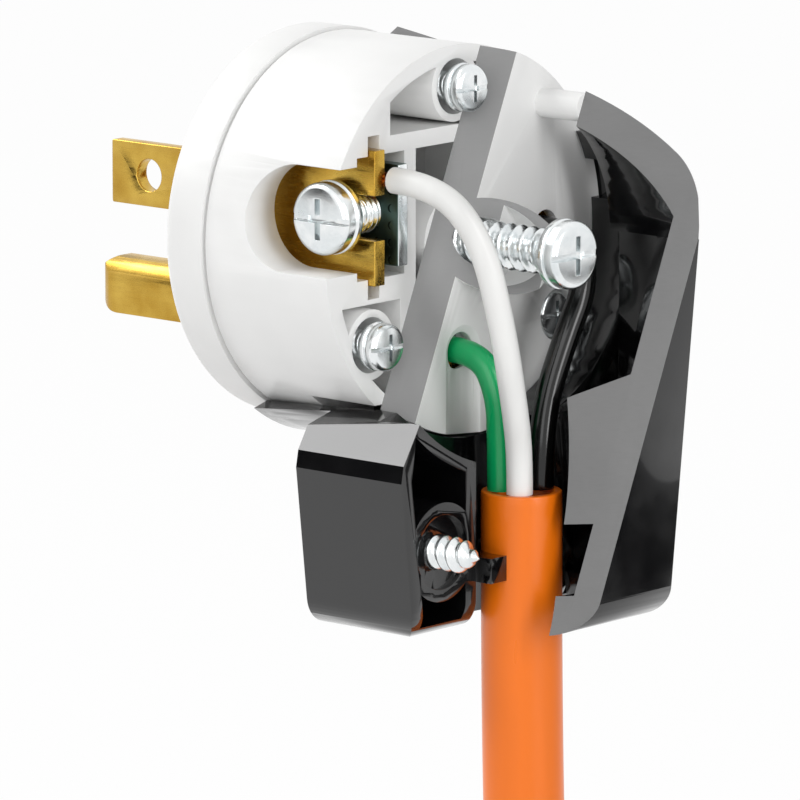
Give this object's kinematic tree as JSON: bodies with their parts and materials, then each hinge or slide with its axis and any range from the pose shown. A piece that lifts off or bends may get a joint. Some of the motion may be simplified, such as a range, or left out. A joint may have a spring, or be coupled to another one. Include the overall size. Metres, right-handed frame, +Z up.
{
  "type": "angle mains plug, cut away",
  "caption": "Cutaway rewireable angle plug with flat blades, folded earth pin, screw terminals and a cord that leaves downwards.",
  "frame": {"origin": "middle of the plug's front face, which lies against the outlet", "axes": "-X out of the front face along the blades, +X back through the body, +Z up, cord towards -Z, neutral terminal towards -Y"},
  "size_m": [0.0643, 0.0404, 0.1369],
  "materials": {
    "white_nylon": "semi-gloss moulded",
    "black_moulding": "high gloss moulded",
    "brass_sheet": "plain stamped",
    "zinc_screw": "bright zinc plated",
    "pressure_steel": "dimpled, dark passivated",
    "orange_jacket": "smooth satin",
    "white_insulation": "smooth",
    "green_insulation": "smooth",
    "black_insulation": "smooth",
    "bare_copper": "stranded"
  },
  "bodies": {
    "root": {"nose_body": "white_nylon", "terminal_cover": "white_nylon", "rear_cover": "black_moulding", "front_cover": "black_moulding", "neutral_blade": "brass_sheet", "hot_blade": "brass_sheet", "ground_pin": "brass_sheet", "assembly_screw_top": "zinc_screw", "assembly_screw_near": "zinc_screw", "assembly_screw_far": "zinc_screw", "centre_screw": "zinc_screw", "cover_screw_near": "zinc_screw", "cover_screw_far": "zinc_screw", "cord_jacket": "orange_jacket", "white_conductor": "white_insulation", "black_conductor": "black_insulation", "green_conductor": "green_insulation", "neutral_clamp_plate": "pressure_steel", "neutral_terminal_screw": "zinc_screw", "neutral_strands": "bare_copper", "hot_clamp_plate": "pressure_steel", "hot_terminal_screw": "zinc_screw", "hot_strands": "bare_copper", "ground_clamp_plate": "pressure_steel", "ground_terminal_screw": "zinc_screw", "ground_strands": "bare_copper"}
  },
  "joints": []
}
